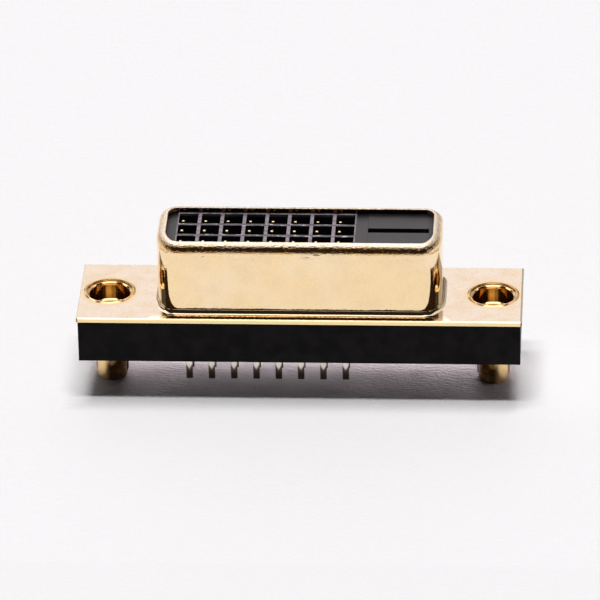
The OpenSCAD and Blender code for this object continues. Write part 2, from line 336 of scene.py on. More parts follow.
# %% Masks on the shell, from 0 to 1, each a few soft steps between places in mm
RIM_FOOT = (13.70, 13.90)
RIM_DRAWN = (13.6, 14.0)
CREST = (14.40, 14.45)
RING_SHADING_REACH = (2.3, 2.75)
LONG_SIDE = (11.2, 11.9)
NICK_X, NICK_Z = 1.55, 13.80
NICK_SQUASH = (0.8, 3.2)


def shell_ledge(height, out_x, out_y):
    """The strip of flange between the wall's long sides and the flange's edge."""
    low = height.fall(8.10, 8.16) * height.fade(FLANGE_TOP - 0.04, FLANGE_TOP - 0.01)
    return low * out_x.fall(*LONG_SIDE) * out_y.fade(4.05, 4.15)


def shell_painted_dark(height, out_x, out_y):
    """The wall's inner side and the rim's inner end, along the shroud's long sides, where a dark reflection
    is painted.
    """
    inner_wall = out_y.fall(3.4, 3.6) * height.fall(13.6, 13.8)
    lip_end = out_y.fall(3.04, 3.10) * height.fall(14.50, 14.56)
    return inner_wall.largest(lip_end) * height.fade(8.4, 8.6) * out_x.fall(10.6, 10.8)


def burr_and_dent_shade_masks(x, height, out_x, out_y):
    """Painted shade: a dark dot on each corner of the flange for a burr, and a dark nick under the rim in
    front and behind for a small dent.
    """
    corner_burr_shade = away(out_x - FLANGE_X, out_y - FLANGE_Y).fall(0.10, 0.17)
    wide, tall = NICK_SQUASH
    nick = away((x - NICK_X) * wide, (height - NICK_Z) * tall).fall(0.18, 0.30)
    return (corner_burr_shade * 0.9).largest(nick * 0.85)


# %% Gold plate for the shell
def gold_plate():
    gold = new_finish("gold_plate")
    height = gold.part("Z")
    x = gold.part("X")
    out_x = x.unsigned()
    out_y = gold.part("Y").unsigned()
    wall = height.fade(FLANGE_TOP + 0.002, FLANGE_TOP + 0.12)
    ledge = shell_ledge(height, out_x, out_y)
    # Round each collar the flange is painted a fuller gold: painted shading for the sheet's rise round the
    # hole.
    ring = away(out_x - BUSH_X, out_y).fall(*RING_SHADING_REACH) * (1 - wall)
    inside = shell_painted_dark(height, out_x, out_y)

    # The flange is painted paler than the wall, as painted light for its bright reflection.
    colour = gold.blend(wall, FLANGE_PAINTED_PALE, WALL_COAT)
    colour = gold.blend(height.fade(FLANGE_TOP - 0.1, FLANGE_TOP), EDGE_COAT, colour)
    colour = gold.blend(height.fade(*RIM_FOOT), colour, RIM_COAT)
    colour = gold.blend(height.fade(*CREST), colour, CREST_COAT)
    colour = gold.blend(ledge * 0.9, colour, LEDGE_COAT)
    colour = gold.blend(ring * 0.5, colour, RING_PAINTED_SHADING)

    blush = gold.speck(4.0, 2) * wall
    cloud = gold.speck(1.6, 4, 0.6)
    dust = gold.speck(0.22, 2, 0.6)
    pits = gold.speck(0.42, 2).fade(0.72, 0.78)
    colour = gold.blend(blush.fade(0.42, 0.66) * 0.35, colour, BLUSH)
    colour = gold.blend(cloud.fade(0.38, 0.72) * 0.5, colour, CLOUD)
    colour = gold.blend(dust.fade(0.4, 0.75) * 0.25, colour, DUST)
    colour = gold.blend(pits * 0.5, colour, PIT)
    # Painted shade of the corner burrs and the dent, then the painted dark reflection inside the wall.
    colour = gold.blend(burr_and_dent_shade_masks(x, height, out_x, out_y), colour, PAINTED_BURR_AND_DENT_SHADE)
    colour = gold.blend(inside * 0.95, colour, PAINTED_DARK_REFLECTION)

    drawn = height.fade(*RIM_DRAWN).largest(ledge * 0.3) * (1 - inside)
    peel = gold.bump(gold.speck(0.12, 1, 0.5) * (drawn * 0.95 + 0.05), 0.055)
    waves = gold.bump(gold.speck(2.6, 2), 0.04, peel)
    rough = cloud * 0.03 + 0.045 + pits * 0.1
    return gold.surface(Base_Color=colour, Metallic=1.0, Roughness=rough, Normal=waves)


GOLD_PLATE = gold_plate()
print("gold plate has", len(GOLD_PLATE.node_tree.nodes), "nodes")

# %% [markdown]
# ## The shell
#
# One sheet, 0.42 mm thick: a flat flange, a tight bend, a straight wall and a rim rolled inwards. It
# could be a flat sheet with Solidify, but then the punch's and the die's small rounds would be
# missing, and on gold these draw the bright and dark lines. So the wall's whole section, both sides
# of the sheet, is carried round the D-shaped outline. The flange is laid out in patches between the
# outline, the two bush holes and a rectangle. Its edge is one more small section, with the chamfer
# that the punch leaves on top and a small round below. The border points are shared, so it sews up.

# %% The outline of the shroud, back middle to front middle, then mirrored
# Each stop is centre x, centre y, radius, angle and the steps to the next stop.
right_half = walk([
    (0.0, 2.055, 1.7, 90, 12),
    (10.3475, 2.055, 1.7, 90, 16),
    (10.3475, 2.055, 1.7, 0, 4),
    (8.5475, -1.075, 3.5, 0, 10),
    (8.5475, -1.075, 3.5, -36.8699, 1),
    (10.1875, -2.305, 1.45, -36.8699, 14),
    (10.1875, -2.305, 1.45, -90, 12),
    (0.0, -2.305, 1.45, -90, 1),
])
left_half = right_half[::-1] * (-1, 1, 1, -1) + (0, 0, 0, math.pi)
shroud_rows = np.vstack([right_half, left_half[1:-1]])
print("shroud outline", len(shroud_rows), "points")

# %% The wall's section, from the flange top over the rim and back to the underside
SHEET = 0.42
BEND = 0.40
RIM = 0.73
RIM_HEIGHT = 5.80
RIM_FLAT = 0.05
LIP_ROUND = 0.06
LIP_X = RIM + RIM_FLAT - LIP_ROUND
LIP_HIGH = RIM_HEIGHT + RIM - LIP_ROUND
LIP_LOW = RIM_HEIGHT + RIM - SHEET + LIP_ROUND
wall_section = trace(walk([
    (-BEND, BEND, BEND, -90, 16),
    (-BEND, BEND, BEND, 0, 1),
    (RIM, RIM_HEIGHT, RIM, 180, 18),
    (RIM, RIM_HEIGHT, RIM, 90, 1),
    (LIP_X, LIP_HIGH, LIP_ROUND, 90, 5),
    (LIP_X, LIP_HIGH, LIP_ROUND, 0, 1),
    (LIP_X, LIP_LOW, LIP_ROUND, 0, 5),
    (LIP_X, LIP_LOW, LIP_ROUND, -90, 1),
    (RIM, RIM_HEIGHT, RIM - SHEET, 90, 10),
    (RIM, RIM_HEIGHT, RIM - SHEET, 180, 1),
    (-BEND, BEND, BEND + SHEET, 0, 16),
    (-BEND, BEND, BEND + SHEET, -90, 1),
]))
print("wall section", len(wall_section), "points, top", round(wall_section[:, 1].max(), 3))

# %% The flange's patches
CHAMFER = 0.16
HOLE = 2.08
PATCH_X = 14.0
HUB_X = 9.9
TINY, NEAR = 1e-9, 1e-6
flat_x, flat_y = FLANGE_X - CHAMFER, FLANGE_Y - CHAMFER


def to_box(points):
    """Each point of the shroud's foot pushed out to the middle patch's rectangle, along the line from
    the nearest hub on the long axis. The four points nearest the corners go into the corners."""
    hub = np.clip(points[:, 0], -HUB_X, HUB_X)
    run = np.abs(points[:, 0] - hub) + TINY
    reach = np.minimum(flat_y / np.maximum(np.abs(points[:, 1]), TINY), (PATCH_X - HUB_X) / run)
    pushed = np.stack([hub + (points[:, 0] - hub) * reach, points[:, 1] * reach], -1)
    corners = np.array([(x, y) for x in (-PATCH_X, PATCH_X) for y in (-flat_y, flat_y)])
    nearest = np.linalg.norm(pushed[None] - corners[:, None], axis=-1).argmin(1)
    pushed[nearest] = corners
    return pushed


foot = trace(shroud_rows, -BEND)
middle = to_box(foot)
seam_y = np.unique(np.round(middle[middle[:, 0] > PATCH_X - NEAR, 1], 9))[::-1]
across = np.linspace(PATCH_X, flat_x, 15)
up = np.linspace(-flat_y, flat_y, 25)
right_box = np.vstack([
    np.column_stack([np.full_like(seam_y, PATCH_X), seam_y]),
    np.column_stack([across, np.full_like(across, -flat_y)])[1:],
    np.column_stack([np.full_like(up, flat_x), up])[1:],
    np.column_stack([across[::-1], np.full_like(across, flat_y)])[1:-1],
])
spokes = right_box - (BUSH_X, 0)
right_hole = (BUSH_X, 0) + HOLE * spokes / np.linalg.norm(spokes, axis=1)[:, None]
mirror = np.array([-1, 1])
print("flange end patch", len(right_box), "points round, hole radius", HOLE)

# %% The flange's edge, a section carried round the rectangle
CHAMFER_DROP = 0.078
SHOULDER = (-0.01, -0.002)
UNDER_ROUND = 0.05
corner_turn = np.linspace(0, 90, 7)


def edge_x(y):
    """The x of every border point on the front or back edge, of all three patches, in order."""
    of_middle = middle[np.abs(middle[:, 1] - y) < NEAR, 0]
    return np.unique(np.round(np.concatenate([of_middle, across, -across]), 9))


def border(x, y, angle):
    """Rows with no radius: places on the rectangle with the angle that the edge faces."""
    x, y, angle = np.broadcast_arrays(np.atleast_1d(x), y, angle)
    return np.column_stack([x, y, np.zeros(len(x)), np.radians(angle)])


border_rows = np.vstack([
    border(edge_x(-flat_y), -flat_y, -90.0),
    border(flat_x, -flat_y, corner_turn - 90),
    border(flat_x, up, 0.0),
    border(flat_x, flat_y, corner_turn),
    border(edge_x(flat_y)[::-1], flat_y, 90.0),
    border(-flat_x, flat_y, corner_turn + 90),
    border(-flat_x, up[::-1], 180.0),
    border(-flat_x, -flat_y, corner_turn + 180),
])
turn = np.radians(np.linspace(0, 90, 7))
edge_section = np.vstack([
    [(0, 0), SHOULDER, (-CHAMFER, -CHAMFER_DROP)],
    np.column_stack([
        UNDER_ROUND - CHAMFER - UNDER_ROUND * np.cos(turn),
        -SHEET + UNDER_ROUND * (1 - np.sin(turn)),
    ]),
    [(0, -SHEET)],
])
print("flange edge", len(border_rows), "rows of", len(edge_section), "points")

# %% Sew the shell
under = FLANGE_TOP - SHEET
left_box, left_hole = right_box * mirror, right_hole * mirror
shell_patches = [
    (sweep(shroud_rows, wall_section, FLANGE_TOP), True, False),
    (sweep(border_rows, edge_section, FLANGE_TOP), True, False),
]
for level in (FLANGE_TOP, under):
    shell_patches.append((ruled(foot, middle, level, level), True, False))
    shell_patches.append((ruled(right_hole, right_box, level, level), True, False))
    shell_patches.append((ruled(left_hole, left_box, level, level), True, False))
shell_patches.append((ruled(right_hole, right_hole, FLANGE_TOP, under), True, False))
shell_patches.append((ruled(left_hole, left_hole, FLANGE_TOP, under), True, False))
sew("shell_sheet", shell_patches, "front_shell", GOLD_PLATE)

# %% [markdown]
# ## Turned bushes
#
# Each bush is turned from brass bar: a body that fills the block's end, a collar on the flange made
# of two rings with a groove between, a smooth bore for the jackscrew's shank and, under a slightly
# conical ledge, the smaller threaded hole. Its foot is a peg sawn into two legs that spring into the
# board. A turned part could be a lathed curve with a Screw modifier, but a grid gives the thread in
# the same skin: a section spun round the axis, and for the thread a radius that depends on angle and
# height. A leg is a half-moon section carried down to a rounded tip.

# %% The bush's heights and radii
SEAT = 3.95
BORE = 1.71
BORE_FLOOR = 6.37
LEDGE = 1.46
THREAD = 1.15
THREAD_DEPTH = 0.24
THREAD_PITCH = 0.635
THREAD_LOW, THREAD_HIGH = 4.55, 6.30
MOUTH_ROUND = 0.05
MOUTH_LOW, MOUTH_HIGH, MOUTH_RIM = 7.85, 7.934, 1.88
GROOVE = 7.91
COLLAR_IN, COLLAR_OUT, COLLAR_TOP = 1.99, 2.13, 8.16
COLLAR_ROUND, COLLAR_CREST = 0.04, 0.09
SKIRT = 2.22
SEAT_BODY, SEAT_LOW = 2.07, 7.66
BODY, BODY_LOW = 1.95, 4.50
NECK, NECK_TOP = 1.58, 4.45
PEG = 1.28
PEG_TIP = 0.18
SLOT_HALF = 0.2
BARB = 0.12
BARB_LOW, BARB_RISE = 0.25, 0.15
BARB_WIDTH, BARB_EDGE = 0.52, 0.08
LEG_STEPS = 41
GROOVE_WIDTH, GROOVE_LAND = 1.25, 0.1
RUN_IN, RUN_OUT = 0.25, 0.12
around = np.linspace(0, 2 * math.pi, 97)[:-1]
print("bush from", SEAT, "to", COLLAR_TOP, "in", len(around), "steps round")

# %% Gold on turned brass
# The pegs are painted dark on the side toward the middle and bright gold outwards: a painted reflection of
# the shaded card under the block and of the lit card beyond.
PEG_SHADED_SIDE, PEG_LIT_SIDE = (0.17, 0.085, 0.024, 1), (1.0, 0.70, 0.34, 1)
# The bore is painted darker deeper down, darkest on the thread, with the ledge a plain gold: painted shade
# in the hole.
THREAD_PAINTED_SHADE, LEDGE_GOLD = (0.36, 0.23, 0.10, 1), (0.95, 0.74, 0.44, 1)
DEEP_BORE_PAINTED_SHADE, UPPER_BORE = (0.40, 0.20, 0.06, 1), (1.0, 0.70, 0.28, 1)
COLLAR_GOLD = (0.95, 0.68, 0.33, 1)
STAIN = (0.62, 0.42, 0.20, 1)
LEDGE_FADE, DEEP_FADE, UPPER_FADE, COLLAR_FADE = (6.33, 6.37), (6.45, 6.49), (6.55, 7.5), (7.80, 7.86)


def turned_gold():
    gold = new_finish("turned_gold")
    height = gold.part("Z")
    # Painted reflection: each peg's inner side dark, its outer side bright.
    outer = gold.part("X").unsigned().fade(BUSH_X, BUSH_X + 0.6)
    foot_painted_light = gold.blend(outer, PEG_SHADED_SIDE, PEG_LIT_SIDE)
    # Painted shade down the bore: dark thread, plain gold ledge, and a dark deep bore that lightens towards
    # the mouth.
    colour = gold.blend(height.fade(*LEDGE_FADE), THREAD_PAINTED_SHADE, LEDGE_GOLD)
    colour = gold.blend(height.fade(*DEEP_FADE), colour, DEEP_BORE_PAINTED_SHADE)
    colour = gold.blend(height.fade(*UPPER_FADE), colour, UPPER_BORE)
    colour = gold.blend(height.fade(*COLLAR_FADE), colour, COLLAR_GOLD)
    colour = gold.blend(height.fade(SEAT - 0.1, SEAT + 0.1), foot_painted_light, colour)
    stain = gold.speck(0.5, 3).fade(0.45, 0.75)
    colour = gold.blend(stain * 0.35, colour, STAIN)
    lathe = gold.bump(gold.speck(0.9, 2, 0.6, (1.0, 1.0, 9.0)), 0.0015)
    peel = gold.bump(gold.speck(0.2, 2, 0.6), 0.0015, lathe)
    rough = stain * 0.06 + 0.07
    return gold.surface(Base_Color=colour, Metallic=1.0, Roughness=rough, Normal=peel)


TURNED_GOLD = turned_gold()
print("turned gold has", len(TURNED_GOLD.node_tree.nodes), "nodes")

# %% The bush's shapes
def spin(section, hub_x):
    """A section of (radius, height) turned round the bush's axis: x = hub + r cos t, y = r sin t."""
    radius, height = section[None, :, 0], section[None, :, 1]
    x = hub_x + radius * np.cos(around)[:, None]
    y = radius * np.sin(around)[:, None]
    return np.stack([x, y, np.broadcast_to(height, x.shape)], -1)


def thread(hub_x):
    """The tapped wall. Radius = the hole's plus a V groove that climbs one pitch each turn, faded
    out at both ends so that the first and last rows are true circles."""
    height = np.linspace(THREAD_LOW, THREAD_HIGH, 64)[None, :]
    phase = (height / THREAD_PITCH - around[:, None] / (2 * math.pi)) % 1
    groove = np.clip(GROOVE_WIDTH * (1 - np.abs(2 * phase - 1)) - GROOVE_LAND, 0, 1)
    run_in = np.clip((height - THREAD_LOW) / RUN_IN, 0, 1)
    run_out = np.clip((THREAD_HIGH - height) / RUN_OUT, 0, 1)
    radius = THREAD + THREAD_DEPTH * groove * run_in * run_out
    x = hub_x + radius * np.cos(around)[:, None]
    y = radius * np.sin(around)[:, None]
    return np.stack([x, y, np.broadcast_to(height, x.shape)], -1)


def leg(hub_x, side, barb):
    """One leg of the split peg. At height z its radius is R, which the tip's quarter round shrinks.
    The section is the arc of R cut off at the saw slot, and barb widens it at both ends of the cut."""
    tip = PEG_TIP * (1 - np.cos(np.radians(np.linspace(0, 90, 9))))
    height = np.concatenate([tip, np.linspace(0.3, SEAT + 0.02, 15)])[None, :]
    shrink = np.clip(PEG_TIP - height, 0, PEG_TIP)
    radius = PEG - PEG_TIP + np.sqrt(PEG_TIP ** 2 - shrink ** 2)
    cut = np.arcsin(SLOT_HALF / radius)
    share = np.linspace(0, 1, LEG_STEPS)[:, None]
    angle = cut + (math.pi - 2 * cut) * share
    x = radius * np.cos(angle)
    y = radius * np.sin(angle)
    spread = barb * np.clip((height - BARB_LOW) / BARB_RISE, 0, 1)
    x = x + np.sign(x) * spread * np.clip((BARB_WIDTH - y) / BARB_EDGE, 0, 1)
    return np.stack([hub_x + x, side * y, np.broadcast_to(height, x.shape)], -1)


# %% The bush's section, from the thread over the ledge and the collar down to the seat
bore_bottom = np.array([(0.0, THREAD_LOW), (THREAD, THREAD_LOW)])
ledge_section = [
    (THREAD, THREAD_HIGH),
    (THREAD + 0.02, THREAD_HIGH + 0.02),
    (LEDGE - 0.12, BORE_FLOOR - 0.03),
    (LEDGE - 0.04, BORE_FLOOR - 0.02),
    (LEDGE, BORE_FLOOR),
    (BORE - 0.05, BORE_FLOOR + 0.085),
    (BORE, BORE_FLOOR + 0.13),
]
collar_section = trace(walk([
    (BORE + MOUTH_ROUND, MOUTH_LOW, MOUTH_ROUND, 180, 5),
    (BORE + MOUTH_ROUND, MOUTH_LOW, MOUTH_ROUND, 125, 4),
    (MOUTH_RIM, MOUTH_HIGH, MOUTH_ROUND, 125, 8),
    (MOUTH_RIM, MOUTH_HIGH, MOUTH_ROUND, 0, 1),
    (MOUTH_RIM, GROOVE, MOUTH_ROUND, 0, 1),
    (COLLAR_IN + COLLAR_ROUND, GROOVE, COLLAR_ROUND, 180, 1),
    (COLLAR_IN + COLLAR_ROUND, COLLAR_TOP - COLLAR_ROUND - 0.02, COLLAR_ROUND, 180, 8),
    (COLLAR_IN + COLLAR_ROUND, COLLAR_TOP - COLLAR_ROUND - 0.02, COLLAR_ROUND, 98, 1),
    (COLLAR_OUT - COLLAR_CREST, COLLAR_TOP - COLLAR_CREST, COLLAR_CREST, 98, 8),
    (COLLAR_OUT - COLLAR_CREST, COLLAR_TOP - COLLAR_CREST, COLLAR_CREST, 48, 1),
    (SKIRT, FLANGE_TOP + 0.004, 0.0, 60, 1),
]))
body_section = [
    (SEAT_BODY, FLANGE_TOP),
    (SEAT_BODY, SEAT_LOW),
    (BODY, SEAT_LOW),
    (BODY, BODY_LOW),
    (BODY - 0.05, NECK_TOP),
    (NECK, NECK_TOP),
    (NECK, SEAT),
    (0.0, SEAT),
]
upper_section = np.vstack([ledge_section, collar_section, body_section])
print("bush section", len(upper_section), "points, top", round(upper_section[:, 1].max(), 3))

# %% Sew the bushes, each leg with its flat side and its two ends folded about the middle row
fold = LEG_STEPS // 2
for node, hub_x in (("left_bush", -BUSH_X), ("right_bush", BUSH_X)):
    patches = [
        (spin(bore_bottom, hub_x), True, False),
        (thread(hub_x), True, False),
        (spin(upper_section, hub_x), True, False),
    ]
    for side, barb in ((1, BARB), (-1, 0.0)):
        outer = leg(hub_x, side, barb)
        patches.append((outer, False, False))
        patches.append((np.stack([outer[0], outer[-1]], 0), False, False))
        for end in (0, -1):
            folded = np.stack([outer[:fold + 1, end], outer[:fold - 1:-1, end]], 1)
            patches.append((folded, False, False))
    sew(node.replace("_bush", "_turned_bush"), patches, node, TURNED_GOLD)

# %% [markdown]
# ## Contacts
#
# A contact is stamped from thin strip. Its tail is a flat blade, tin-plated and bright down to a wedge
# and dark below: the dark is partly the bare metal of the cut end and partly a painted reflection of the
# shadowed card under the block. Its plate sits in the housing, and a narrow beam bows across the cell
# and ends in a rounded, gold-plated tip. It could be extruded from a drawing of the strip, but the
# bowed beam turns edgeways to the plate. So all of it is one rounded rectangle that is carried upwards
# while its middle, its two half sizes and the round of its corners change.

# %% Gold tip, tin-plated tail with a painted dark wedge
PITCH = 1.905
FIRST_COLUMN = -9.5475
# The V wedge where the tail's bright tin ends and its dark begins: partly bare metal, partly a painted
# reflection of the shadowed card.
WEDGE_LOW = 1.72
WEDGE_SLOPE = 1.7
BRIGHT_TIN, DULL_TIN = (0.97, 0.90, 0.83, 1), (0.86, 0.80, 0.75, 1)
BARE_AND_SHADED_TAIL = (0.16, 0.12, 0.095, 1)
TIP_GOLD = (0.95, 0.76, 0.42, 1)


def contact_metal():
    metal = new_finish("contact_metal")
    height = metal.part("Z")
    streak = metal.speck(0.3, 3, 0.6, (3.0, 3.0, 0.6))
    tin = metal.blend(streak.fade(0.35, 0.7), BRIGHT_TIN, DULL_TIN)
    across = metal.part("X") - (FIRST_COLUMN - PITCH / 2)
    across = across.operate("FLOORED_MODULO", across, PITCH) - PITCH / 2
    # Below a V wedge the tail is painted dark: partly its bare cut end, partly a painted reflection of the
    # shadowed card.
    tin_and_lit_wedge = (height - WEDGE_LOW - across.unsigned() * WEDGE_SLOPE).fade(-0.15, 0.12)
    tin = metal.blend(tin_and_lit_wedge, BARE_AND_SHADED_TAIL, tin)
    colour = metal.blend(height.fade(5.0, 6.0), tin, TIP_GOLD)
    drawn = metal.bump(streak, 0.002)
    rough = streak * 0.08 + 0.1
    return metal.surface(Base_Color=colour, Metallic=1.0, Roughness=rough, Normal=drawn)


CONTACT_METAL = contact_metal()
print("contact metal has", len(CONTACT_METAL.node_tree.nodes), "nodes")

# %% One contact as a function of its column, row and tip height
CELL_FLOOR = 8.91
TAIL_END = 0.73
FACE = 14.11
TIP_DROP = {1: 0.16, 0: 0.05, -1: 0.04}
TIP_ROUND = 0.12
TIP_X, TIP_HALF_X, TIP_HALF_Y = -0.45, 0.14, 0.16
CORNER_HEIGHTS = [1.0, 2.4, 3.9, 4.4]
CORNER_ROUNDS = [0.12, 0.075, 0.06, 0.05]


def strip(stations):
    """A rounded rectangle carried up the stations. A station is the middle x and y, the half width
    along x and along y, and the height. A point = middle + sign (half - round) + round (cos, sin),
    where the round is read off the table of heights: large on the coined tail, small on the plate."""
    turn = np.radians(np.arange(0, 360, 15) + 7.5)[:, None]
    x, y, half_x, half_y, z = (column[None, :] for column in stations.T)
    rolled = np.interp(z, CORNER_HEIGHTS, CORNER_ROUNDS)
    soft = np.minimum(rolled, np.minimum(half_x, half_y))
    px = x + np.sign(np.cos(turn)) * (half_x - soft) + soft * np.cos(turn)
    py = y + np.sign(np.sin(turn)) * (half_y - soft) + soft * np.sin(turn)
    return np.stack([px, py, np.broadcast_to(z, px.shape)], -1)


def stations(column_x, row_y, tip_z):
    """Stations of one contact. The tail thins to a coined end, the plate turns into the beam under
    the cell floor, the beam's middle is x = -0.375 - 0.075 u + 0.28 sin(180 u) while u goes from 0
    to 1, and in the tip both half sizes shrink with one minus the cosine of the lift."""
    low = [
        (0, 0, 0.25, 0.03, TAIL_END),
        (0, 0, 0.275, 0.04, TAIL_END + 0.03),
        (0, 0, 0.28, 0.083, 1.3),
        (0, 0, 0.28, 0.121, 1.76),
        (0, 0, 0.28, 0.125, 1.9),
        (0, 0, 0.28, 0.125, 3.25),
        (0, 0, 0.34, 0.125, SEAT),
        (0, 0, 0.34, 0.125, 4.3),
        (0, 0, 0.5, 0.125, 4.45),
        (0, 0, 0.5, 0.125, 7.6),
        (-0.3, 0, 0.2, 0.16, 8.3),
        (-0.375, 0, 0.14, 0.225, 8.6),
    ]
    u = np.linspace(0, 1, 25)
    beam_x = -0.375 - 0.075 * u + 0.28 * np.sin(math.pi * u)
    beam_z = CELL_FLOOR + (tip_z - TIP_ROUND - CELL_FLOOR) * u
    beam = np.column_stack([beam_x, 0 * u, 0 * u + TIP_HALF_X, 0.225 - 0.065 * u, beam_z])
    lift = np.radians(np.linspace(0, 90, 8)[1:])
    shrink = 1 - np.cos(lift)
    tip_up = tip_z - TIP_ROUND + TIP_ROUND * np.sin(lift)
    half_x, half_y = TIP_HALF_X - 0.08 * shrink, TIP_HALF_Y - 0.13 * shrink
    tip = np.column_stack([0 * lift + TIP_X, 0 * lift, half_x, half_y, tip_up])
    every = np.vstack([low, beam, tip])
    every[:, 0] += column_x
    every[:, 1] += row_y
    return every


# %% Sew the contacts
for number in range(1, 25):
    node = f"signal_contact_{number:02d}"
    low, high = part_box(node)
    row = round((low.y + high.y) / 2 / MM / PITCH)
    column = round(((low.x + high.x) / 2 / MM - FIRST_COLUMN) / PITCH)
    grid = strip(stations(FIRST_COLUMN + PITCH * column, row * PITCH, FACE - TIP_DROP[row]))
    patches = [(grid, True, False), (fan(grid[:, 0]), True, False), (fan(grid[:, -1]), True, False)]
    sew(f"contact_strip_{number:02d}", patches, node, CONTACT_METAL, False)

# %% [markdown]
# ## Housing
#
# The black moulding is glass-filled plastic: nearly black, with a fine matt skin and a slight sheen on
# the mating face. The tops of the thin walls between the cells are painted a lighter grey, a painted
# highlight, and the rails along them are painted with glints.
# The housing's shape is right in the CAD already, but its edges are sharp and a real mould leaves
# none. So a copy is merged, its flat faces are cleared of the triangles' edges, and a narrow bevel
# goes round every edge, which is easier and truer than to build the moulding again.

# %% Black moulded plastic
BLACK, WORN_BLACK = (0.0042, 0.0036, 0.0040, 1), (0.0092, 0.0076, 0.0085, 1)
FLECK = (0.20, 0.18, 0.19, 1)
# Painted highlight colours: the cell walls' lighter tops and the rails' glints.
WALL_TOP_HIGHLIGHT = (0.25, 0.21, 0.235, 1)
GLINT = (0.62, 0.58, 0.60, 1)
CELLS_LEFT, CELLS_RIGHT = (-10.5, -10.4), (4.65, 4.75)
RAIL_IN, RAIL_OUT = (0.76, 0.80), (1.11, 1.15)


def moulded_black():
    black = new_finish("moulded_black")
    height = black.part("Z")
    side = black.part("X")
    out_y = black.part("Y").unsigned()
    mating = height.fade(10.0, 12.0)
    walls = height.fade(FACE - 0.05, FACE - 0.02) * side.fall(*CELLS_RIGHT) * side.fade(*CELLS_LEFT)
    rail = out_y.fade(*RAIL_IN) * out_y.fall(*RAIL_OUT)

    grain = black.speck(0.09, 3, 0.6)
    cloud = black.speck(1.3, 2)
    fleck = black.speck(0.22, 2).fade(0.70, 0.78)
    wall_top_speck = black.speck(0.3, 3, 0.7, (0.45, 1.0, 1.0))
    wall_top_highlight = wall_top_speck.fade(0.35, 0.62, 0.35, 1.0) * (1 - rail * 0.45)
    colour = black.blend(cloud.fade(0.3, 0.7), BLACK, WORN_BLACK)
    colour = black.blend(fleck * mating * 0.35, colour, FLECK)
    # Painted highlight on the wall tops, then painted glints on the rails.
    colour = black.blend(walls * wall_top_highlight, colour, WALL_TOP_HIGHLIGHT)
    colour = black.blend(walls * (wall_top_speck.fade(0.57, 0.64) * rail), colour, GLINT)

    normal = black.node("NewGeometry", out="Normal")
    face_up = black.node("SeparateXYZ", {}, {0: normal}, out="Z")
    ends = side.unsigned().fade(10.5, 11.6, 0.0, 0.5)
    sheen = mating * face_up.fade(0.9, 0.98) * (1 - rail * walls * 0.55) * (1 - ends)
    return black.surface(
        Base_Color=colour, Roughness=grain * 0.12 + 0.36, Normal=black.bump(grain, 0.004),
        Specular_IOR_Level=0.06, Coat_Weight=sheen, Coat_Roughness=0.38, Coat_IOR=1.5)


MOULDED_BLACK = moulded_black()
print("moulded black has", len(MOULDED_BLACK.node_tree.nodes), "nodes")

# %% A bevelled copy of the housing
CAD_MERGE = 0.001
FLAT_ANGLE = 0.6
BEVEL_ANGLE = 35
MOULD_EDGE = 0.035


def moulding(name, node, material):
    """Copies the node's mesh, merges its loose triangles, joins flat neighbours and bevels edges."""
    skin = bmesh.new()
    skin.from_mesh(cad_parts[node].data)
    bmesh.ops.remove_doubles(skin, verts=skin.verts, dist=CAD_MERGE * MM)
    bmesh.ops.dissolve_limit(
        skin, angle_limit=math.radians(FLAT_ANGLE), verts=skin.verts, edges=skin.edges)
    open_edges = sum(len(edge.link_faces) != 2 for edge in skin.edges)
    mesh = bpy.data.meshes.new(name)
    skin.to_mesh(mesh)
    skin.free()
    mesh.shade_smooth()
    mesh.materials.clear()
    mesh.materials.append(material)
    piece = bpy.data.objects.new(name, mesh)
    bpy.context.scene.collection.objects.link(piece)
    bevel = piece.modifiers.new("moulded edges", "BEVEL")
    bevel.width = MOULD_EDGE * MM
    bevel.segments = 2
    bevel.limit_method = "ANGLE"
    bevel.angle_limit = math.radians(BEVEL_ANGLE)
    hold_flats(piece)
    hand_over(piece, node)
    print(name, len(mesh.polygons), "faces,", open_edges, "open edges")


moulding("moulded_housing", "housing", MOULDED_BLACK)

# %% The spring blade in the long slot keeps its CAD shape
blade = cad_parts["ground_blade"]
blade.data.materials.clear()
blade.data.materials.append(CONTACT_METAL)
print("ground blade keeps", len(blade.data.polygons), "faces")

# %% [markdown]
# ## Floor and flag
#
# The socket stands on pale card with a fine tooth. The tooth shows where light grazes it, so it is
# deeper in the socket's own shade and faint in the open. Gold shows what it mirrors, and a bright
# floor alone would leave the wall without a single line. So a photographer's black flag leans in front
# of the socket, out of the picture. Only mirrors see it, and it draws the dark bands at the foot of
# the wall and under the rim.

# %% The floor
CARD_LOW, CARD_HIGH = (0.795, 0.788, 0.796, 1), (0.807, 0.800, 0.808, 1)
FLOOR_HALF = 2500
SHADE_FRONT, SHADE_BACK, SHADE_END = (-4.6, -3.8), (6, 12), (16, 19)


def pale_card():
    card = new_finish("pale_card")
    grain = card.speck(0.26, 3, 0.7, (0.4, 1.0, 1.0))
    depth = card.part("Y")
    shaded = depth.fade(*SHADE_FRONT) * depth.fall(*SHADE_BACK)
    shaded = shaded * card.part("X").unsigned().fall(*SHADE_END)
    tooth = card.bump(grain * (shaded * 0.7 + 0.3), 0.33)
    colour = card.blend(grain, CARD_LOW, CARD_HIGH)
    return card.surface(Base_Color=colour, Roughness=0.6, Normal=tooth, Specular_IOR_Level=0.15)


def sheet(name, corners, material):
    """A flat stage sheet with the given corners in mm."""
    mesh = bpy.data.meshes.new(name)
    mesh.from_pydata([Vector(corner) * MM for corner in corners], [], [(0, 1, 2, 3)])
    made = bpy.data.objects.new(name, mesh)
    bpy.context.scene.collection.objects.link(made)
    mesh.materials.append(material)
    print(name, "of", len(corners), "corners")
    return made


floor_corners = [(x * FLOOR_HALF, y * FLOOR_HALF, 0) for x, y in ((-1, -1), (1, -1), (1, 1), (-1, 1))]
sheet("floor", floor_corners, pale_card())

